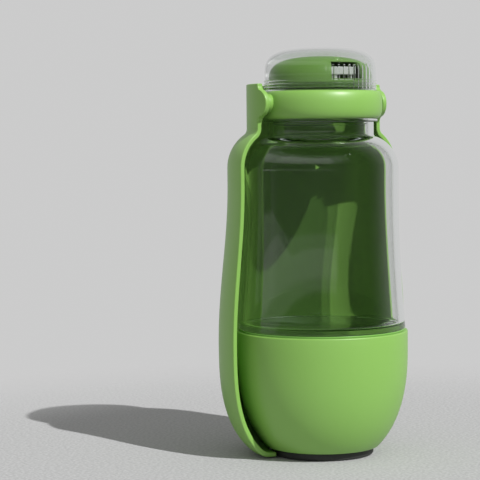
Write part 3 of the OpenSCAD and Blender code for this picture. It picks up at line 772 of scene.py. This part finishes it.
# %% [markdown]
# ## Spout
#
# The spout is a low dome on a flange, with a plug below that screws into the
# neck and one pouring window at the front. The window could be cut with a
# Boolean, but a Boolean leaves long thin faces that shade badly. On a grid it is
# enough to leave out a block of faces in the outer and in the inner skin and to
# join the two holes; a Bevel then eases the window's edge.

# %% Spout
DOME_R, DOME_FORM, DOME_WALL = 27.5, 2.7, 1.8
FLANGE_Z, DOME_Z, DOME_H = 196.2, 200.4, 14.2
PLUG_R, PLUG_IN_R, PLUG_Z, LEDGE_Z, SEAT_R = 25.0, 22.4, 186.2, 198.0, 24.64
WINDOW_HALF, WINDOW_LOW, WINDOW_HIGH, FRONT = 20.6, 200.7, 209.8, 270.0
WINDOW_ROWS, ROWS_BELOW, WINDOW_EASE, SHARP_EDGE = 22, 2, 0.3, 50


def dome_curve(radius, height):
    """Superellipse from the flange to the pole: ROWS_BELOW rows, then WINDOW_ROWS even
    steps in height between the window's lower and upper edge, then the top."""
    share = (np.linspace(WINDOW_LOW, WINDOW_HIGH, WINDOW_ROWS + 1) - DOME_Z) / height
    t = np.degrees(np.arcsin(share ** (DOME_FORM / 2)))
    t = np.concatenate(([0, t[0] / 2], t, np.linspace(t[-1], 90, 36)[1:]))
    return super_arc(radius, height, DOME_FORM, t, DOME_Z)


inner_dome = dome_curve(DOME_R - DOME_WALL, DOME_H - DOME_WALL)
outer_dome = dome_curve(DOME_R, DOME_H)
dome_section = section(
    inner_dome[::-1], (SEAT_R, DOME_Z, 0.2), (SEAT_R, LEDGE_Z), (PLUG_IN_R, LEDGE_Z, 0.3),
    (PLUG_IN_R, PLUG_Z, 0.5), (PLUG_R, PLUG_Z, 0.5), (PLUG_R, FLANGE_Z, 0.2),
    (DOME_R, FLANGE_Z, 0.5), outer_dome)
window_edges = FRONT + WINDOW_HALF * np.array([-1, 1])
dome_angles = np.unique(np.concatenate((even_turn(180), window_edges)))
dome_grid = turned(dome_section, dome_angles)
dome_rows, dome_columns = dome_grid.shape[:2]
index = np.arange(dome_rows * dome_columns).reshape(dome_rows, dome_columns)
first_column, last_column = np.searchsorted(dome_angles, window_edges)
inner_top = len(inner_dome) - 1 - ROWS_BELOW - WINDOW_ROWS
outer_top = dome_rows - len(outer_dome) + ROWS_BELOW + WINDOW_ROWS
inner_block = index[inner_top:inner_top + WINDOW_ROWS + 1, first_column:last_column + 1][::-1]
outer_block = index[outer_top - WINDOW_ROWS:outer_top + 1, first_column:last_column + 1]
dome_faces = quads(dome_rows, dome_columns, False)
dome_faces[inner_top:inner_top + WINDOW_ROWS, first_column:last_column] = -1
dome_faces[outer_top - WINDOW_ROWS:outer_top, first_column:last_column] = -1
dome_faces = dome_faces.reshape(-1, 4)
dome_faces = dome_faces[dome_faces[:, 0] >= 0]


def border(block):
    """The numbers round the edge of a block of points, as a closed line."""
    line = np.concatenate((block[0, :-1], block[:-1, -1], block[-1, :0:-1], block[:0:-1, 0]))
    return np.append(line, line[0])


outside, inside = border(outer_block), border(inner_block)
jamb = np.column_stack((outside[:-1], outside[1:], inside[1:], inside[:-1]))
dome = new_piece("spout_dome_skin", (dome_grid.reshape(-1, 3), np.vstack((dome_faces, jamb))))
edge_ease = dome.modifiers.new("eased_window", "BEVEL")
edge_ease.width, edge_ease.segments = WINDOW_EASE * MM, 3
edge_ease.limit_method, edge_ease.angle_limit = "ANGLE", math.radians(SHARP_EDGE)
dress(dome, "spout", "green_plastic", green, "spout_dome")

# %% [markdown]
# ## Outlet insert
#
# Behind the window stands a white baffle that calms the water, on a plate that
# carries the valves. A moulded slab has eased edges all round, so it is drawn
# as nested outlines, from a pole in the middle of one face over the edge to the
# pole of the other, and the baffle is then bent round the axis.

# %% Outlet insert
BAFFLE_R, BAFFLE_T, BAFFLE_Z, BAFFLE_H, BAFFLE_HALF = 23.1, 1.8, 203.2, 4.1, 19.0
PLATE_Z, PLATE_TOP, INSERT_R, VALVE_R, VALVE_HOLE = 198.0, 200.0, 24.6, 8.8, 6.6
VALVE_SEAT_Z, POST_SIDE, POST_Z, POST_BACK = 199.0, 5.1, 202.7, 1.0
OUTLINE_POINTS = 96


def slab(width, height, corner, thick, ease):
    """Rounded slab about the origin as a grid of (u, v, w). Its rows are outlines: the
    rounded rectangle, scaled from 0 up to 1 on the front face, moved out round the edge
    by ease (1 - cos t), and scaled back to 0 on the back face."""
    def outline(inset):
        """The rounded rectangle, drawn in by inset, as evenly spaced points."""
        w, h, c = width / 2 - inset, height / 2 - inset, corner - inset
        corners = [arc((sx * (w - c), sy * (h - c)), c, start, start + 90, 6)
                   for sx, sy, start in ((1, 1, 0), (-1, 1, 90), (-1, -1, 180), (1, -1, 270))]
        line = np.vstack(corners + [corners[0][:1]])
        along = np.append(0, np.cumsum(np.linalg.norm(np.diff(line, axis=0), axis=1)))
        even = np.linspace(0, along[-1], OUTLINE_POINTS + 1)[:-1]
        return np.column_stack([np.interp(even, along, line[:, k]) for k in (0, 1)])

    t = np.radians(np.linspace(0, 90, 5))
    steps = [(s, ease, 0) for s in np.linspace(0, 1, 9)[:-1]]
    steps += [(1, ease * (1 - np.sin(a)), ease * (1 - np.cos(a))) for a in t]
    steps += [(s, i, thick - w) for s, i, w in steps[::-1]]
    return np.array([np.column_stack((s * outline(i), np.full(OUTLINE_POINTS, w)))
                     for s, i, w in steps])


def bent(points, radius, height):
    """Bends a slab round the axis at the front: u runs along the arc, w towards the axis."""
    u, v, w = np.moveaxis(points, -1, 0)
    r, a = radius - w, u / radius
    return np.stack((r * np.sin(a), -r * np.cos(a), v + height), axis=-1)


plate_section = section(
    (VALVE_HOLE, PLATE_Z, 0.2), (INSERT_R, PLATE_Z, 0.2), (INSERT_R, PLATE_TOP, 0.3),
    (VALVE_R + CLOSE_FIT, PLATE_TOP, 0.2), (VALVE_R + CLOSE_FIT, VALVE_SEAT_Z, 0.1),
    (VALVE_HOLE, VALVE_SEAT_Z, 0.1))
baffle_width = 2 * BAFFLE_R * math.radians(BAFFLE_HALF)
baffle = bent(slab(baffle_width, BAFFLE_H, 1.2, BAFFLE_T, 0.35), BAFFLE_R, BAFFLE_Z + BAFFLE_H / 2)
post = slab(2.0, 6.0, 0.5, 1.6, 0.2)
posts = [bent(post + (side * POST_SIDE, 0, POST_BACK), BAFFLE_R, POST_Z) for side in (-1, 1)]
insert = new_piece("outlet_insert_skin", skin(turned(plate_section), True), skin(baffle),
                   *map(skin, posts))
dress(insert, "spout", "white_plastic", white, "outlet_insert")

# %% [markdown]
# ## Valves, seals and gasket
#
# Rings of soft silicone close every joint that water could find. Each is a small
# turned loop with generous corners. The slit valve is a dished skin in a clamped
# rim, and the vent valve a little umbrella on a stem.

# %% Seals and gasket
def ring(name, r_in, r_out, low, high, ease):
    """A ring of rectangular section whose four corners are eased alike."""
    profile = section((r_in, low, ease), (r_out, low, ease),
                      (r_out, high, ease), (r_in, high, ease))
    return new_piece(name, skin(turned(profile), True))


base_ring = ring("base_ring", 41.64, 44.44, 67.02, 67.98, 0.3)
dress(base_ring, "bottle", "green_silicone", green_silicone, "base_seal")
mouth_gasket = ring("mouth_gasket", 25.44, 27.5, 195.02, 196.18, 0.35)
dress(mouth_gasket, "gasket", "clear_silicone", silicone, "spout_gasket")
lid_ring = ring("lid_ring", 27.8, 28.86, 197.5, 199.1, 0.2)
dress(lid_ring, "lid", "clear_silicone", silicone, "lid_seal")
clamp = ring("valve_clamp", VALVE_HOLE, 11.0, 200.02, 201.0, 0.3)
dress(clamp, "spout", "white_plastic", white, "valve_ring")

# %% Valves
RIM_LOW, RIM_HIGH, SKIN_LOW, SKIN_HIGH = 199.02, 199.98, 198.67, 199.33
STEM_R, STEM_BEAD_R, STEM_END, CAP_R, CAP_TOP, VENT_BACK = 1.2, 1.7, 196.8, 3.6, 201.1, 16
dish = section((0, SKIN_LOW), (6.56, RIM_LOW), (VALVE_R, RIM_LOW, 0.2), (VALVE_R, RIM_HIGH, 0.2),
               (VALVE_HOLE, RIM_HIGH, 0.2), (5.9, 199.67, 0.3), (0, SKIN_HIGH))
slit_dish = new_piece("slit_dish", skin(turned(dish)))
dress(slit_dish, "spout", "clear_silicone", silicone, "slit_valve")
umbrella = section((0, STEM_END), (STEM_R, STEM_END, 0.2), (STEM_BEAD_R, PLATE_Z, 0.1),
                   (STEM_R, PLATE_Z), (STEM_R, PLATE_TOP), (CAP_R, PLATE_TOP, 0.1),
                   (STEM_R, 200.88, 0.8), (0, CAP_TOP))
vent = new_piece("vent_umbrella", skin(turned(umbrella, SMALL_TURN) + (0, VENT_BACK, 0)))
dress(vent, "spout", "clear_silicone", silicone, "vent_valve")

# %% [markdown]
# ## Dust lid
#
# The lid is a thin clear cap. Four fine beads run round its skirt and ten short
# ribs at the front give the thumb a hold; both act as tiny lenses, which is why
# they show as dark and bright lines. They are swellings of the skirt's radius, so
# the wall stays one clean closed skin.

# %% Dust lid
LID_R, LID_WALL, LID_FORM = 29.8, 1.3, 3.3
LID_LOW, LID_CURVE_Z, LID_TOP = 195.0, 203.0, 218.2
GROOVE_R, GROOVE_LOW, GROOVE_HIGH = 28.9, 197.46, 199.14
BEAD_OUT, BEAD_HALF, BEAD_PITCH, BEAD_COUNT, FIRST_BEAD = 0.5, 0.4, 1.6, 4, 195.6
RIB_R, RIB_PITCH, RIB_COUNT, RIB_TOP, RIB_FADE, RIB_FLAT = 0.6, 6.0, 10, 208.0, 3.0, 0.7
SWELL_LOW, SWELL_DEEP, RIB_HALF_TURN = 195.2, 0.9, 1.5
rib_middles = FRONT + RIB_PITCH * (np.arange(RIB_COUNT) - (RIB_COUNT - 1) / 2)


def lid_swell(r, z, a):
    """Beads: half waves in height. Ribs: half rounds sqrt(RIB_R^2 - d^2), d being the way
    round from a rib's middle, a little flattened, that stand upright on the skirt's radius
    and run out over RIB_FADE at the top. Only the skirt's outer face swells."""
    bead_number = np.clip(np.round((z - FIRST_BEAD) / BEAD_PITCH), 0, BEAD_COUNT - 1)
    bead_z = FIRST_BEAD + BEAD_PITCH * bead_number
    bead = BEAD_OUT * np.cos(np.pi / 2 * np.clip(np.abs(z - bead_z) / BEAD_HALF, 0, 1))
    rib_number = np.clip(np.round((a - FRONT) / RIB_PITCH - 0.5),
                         -RIB_COUNT // 2, RIB_COUNT // 2 - 1)
    d = np.radians(a - (FRONT + RIB_PITCH * (rib_number + 0.5))) * LID_R
    half_round = np.sqrt(np.clip(RIB_R ** 2 - d ** 2, 0, None))
    half_round = half_round * np.clip((RIB_TOP - z) / RIB_FADE, 0, 1) ** 0.5
    rib = np.where(half_round > 0, LID_R + RIB_FLAT * half_round - r, 0)
    return np.maximum(np.maximum(bead, rib), 0) * (r > LID_R - SWELL_DEEP) * (z > SWELL_LOW)


rib_steps = np.concatenate([m + np.linspace(-RIB_HALF_TURN, RIB_HALF_TURN, 17)
                            for m in rib_middles])
lid_angles = np.unique(np.round(np.concatenate((even_turn(144), rib_steps)), 4))
skirt_z = np.arange(195.5, 201.3, 0.1)
lid_turns = np.linspace(0, 90, 60)
lid_in_r, lid_in_h = LID_R - LID_WALL, LID_TOP - LID_WALL - LID_CURVE_Z
lid_section = section(
    super_arc(lid_in_r, lid_in_h, LID_FORM, lid_turns[::-1], LID_CURVE_Z),
    (lid_in_r, GROOVE_HIGH, 0.1), (GROOVE_R, GROOVE_HIGH, 0.1),
    (GROOVE_R, GROOVE_LOW, 0.1), (lid_in_r, GROOVE_LOW, 0.1),
    (lid_in_r, LID_LOW, 0.3), (LID_R, LID_LOW, 0.3),
    np.column_stack((0 * skirt_z + LID_R, skirt_z)),
    super_arc(LID_R, LID_TOP - LID_CURVE_Z, LID_FORM, lid_turns, LID_CURVE_Z))
lid = new_piece("lid", skin(turned(lid_section, lid_angles, lid_swell)))
dress(lid, "lid", "clear_plastic", clear, "dust_lid")

# %% [markdown]
# ## Floor, light and surroundings
#
# The bottle stands on a pale floor that fades into an even pale room. The only
# lamp shines like a sun from the front right and draws one firm shadow; the room
# itself gives the soft light, a little more of it in front than behind. What a
# clear wall shows is set apart from that. Seen straight or bent, the room is pale
# all round. Mirrored, it is pale behind the bottle and dark in front, with two
# pale panels, because gloss that mirrors an even pale room looks like milk.

# %% Room
class Room(Finish):
    """The world's shader, written as expressions on a ray's direction. A later kind of
    ray in the mix below wins over an earlier one."""

    def __init__(self, name):
        bpy.context.scene.world = bpy.data.worlds.new(name)
        bpy.context.scene.world.use_nodes = True
        self.tree = bpy.context.scene.world.node_tree
        self.tree.nodes.clear()
        self.direction = self.node("ShaderNodeTexCoord", out="Generated")
        self.rise = self.node("ShaderNodeSeparateXYZ", {}, {0: self.direction}, out="Z")

    def facing(self, azimuth):
        """Direction . heading(azimuth): 1 towards that azimuth and -1 away from it."""
        return self.node("ShaderNodeVectorMath", {"operation": "DOT_PRODUCT"},
                         {0: self.direction, 1: heading(azimuth)}, out="Value")

    def ramp(self, value, first, last, first_level=0.0, last_level=1.0):
        """Goes straight from first_level to last_level as value goes from first to last."""
        return self.node("ShaderNodeMapRange", {}, {
            "Value": value, "From Min": first, "From Max": last,
            "To Min": first_level, "To Max": last_level})

    def background(self, level):
        """Light of this level from the direction of the ray."""
        return self.node("ShaderNodeBackground", {}, {"Color": level})


PALE_LEVEL, LIGHT_BACK, LIGHT_FRONT, DARK = 0.60, 0.29, 0.60, 0.03
LIGHT_AZIMUTH, DARK_AZIMUTH, PANEL_AZIMUTH = -20.0, -42.0, -84.0
HIGH_PANEL, LOW_PANEL = 0.40, 0.42
PALE = (PALE_LEVEL, PALE_LEVEL, PALE_LEVEL, 1)
room = Room("room")
light = room.ramp(room.facing(LIGHT_AZIMUTH), -1.0, 1.0, LIGHT_BACK, LIGHT_FRONT)
behind = room.ramp(room.facing(DARK_AZIMUTH), -0.55, 0.12, PALE_LEVEL, DARK)
high_panel = (room.ramp(room.rise, 0.32, 0.35)
              * room.ramp(room.rise, 0.62, 0.65, HIGH_PANEL, 0.0))
low_edge = room.ramp(room.facing(CAMERA_AZIMUTH), 0.42, 0.74, -0.012, 0.006)
low_panel = (room.ramp(room.rise - low_edge, 0.0, 0.003)
             * room.ramp(room.rise, 0.035, 0.040, LOW_PANEL, 0.0))
panel_side = room.ramp(room.facing(PANEL_AZIMUTH), 0.30, 0.35)
mirrored = behind + panel_side * (high_panel + low_panel)
surface = room.background(light)
for name, level in (("Is Glossy Ray", mirrored), ("Is Transmission Ray", PALE),
                    ("Is Camera Ray", PALE)):
    share = room.node("ShaderNodeLightPath", out=name)
    surface = room.node("ShaderNodeMixShader", {},
                        {0: share, 1: surface, 2: room.background(level)})
room.node("ShaderNodeOutputWorld", {}, {"Surface": surface})

# %% Floor
FLOOR_R, FADE_START, FADE_END = 0.42, 0.17, 0.40
FLOOR_RINGS, FLOOR_SPOKES = 12, 96
spokes = np.radians(even_turn(FLOOR_SPOKES))
radii = np.linspace(0, FLOOR_R, FLOOR_RINGS)
disc = radii[:, None, None] * np.stack((np.cos(spokes), np.sin(spokes), 0 * spokes), axis=-1)
floor = new_piece("floor", (disc.reshape(-1, 3) / MM,
                            quads(FLOOR_RINGS, FLOOR_SPOKES, False).reshape(-1, 4)))


def pale_floor():
    """Speckled pale ground that turns into nothing between FADE_START and FADE_END from the
    bottle's axis, so that the room's own colour takes over without an edge."""
    finish = Finish("pale_floor")
    away = finish.node("ShaderNodeVectorMath", {"operation": "LENGTH"},
                       {0: finish.place}, out="Value")
    fade = finish.node("ShaderNodeMapRange", {"interpolation_type": "SMOOTHSTEP"},
                       {"Value": away, "From Min": FADE_START, "From Max": FADE_END})
    speck = finish.noise(1.6, 2.0)
    ground = finish.plastic(Base_Color=finish.blend(speck, (0.24, 0.24, 0.24), (0.59, 0.59, 0.59)),
                            Roughness=0.9, Specular_IOR_Level=0.5)
    nothing = finish.node("ShaderNodeBsdfTransparent")
    return finish.done(finish.node("ShaderNodeMixShader", {}, {0: fade, 1: ground, 2: nothing}))


floor.data.materials.append(pale_floor())


# %% Lamps
def sun_lamp(name, azimuth, elevation, strength, angle):
    """Sun lamp that shines from an azimuth and elevation; angle is how wide it looks. A
    sun's place doesn't change its light, so it stands half a metre out."""
    lamp = bpy.data.objects.new(name, bpy.data.lights.new(name, "SUN"))
    lamp.data.energy, lamp.data.angle = strength, math.radians(angle)
    direction = heading(azimuth, math.tan(math.radians(elevation)))
    lamp.matrix_world = aimed(0.5 * direction, -direction)
    bpy.context.scene.collection.objects.link(lamp)


KEY_AZIMUTH, KEY_ELEVATION, KEY_STRENGTH, KEY_WIDTH = 13.8, 45.6, 3.7, 0.8
sun_lamp("key", KEY_AZIMUTH, KEY_ELEVATION, KEY_STRENGTH, KEY_WIDTH)

# %% [markdown]
# ## View transform
#
# The picture is shown through the plain Standard view transform.

# %% View transform
bpy.context.scene.view_settings.view_transform = "Standard"
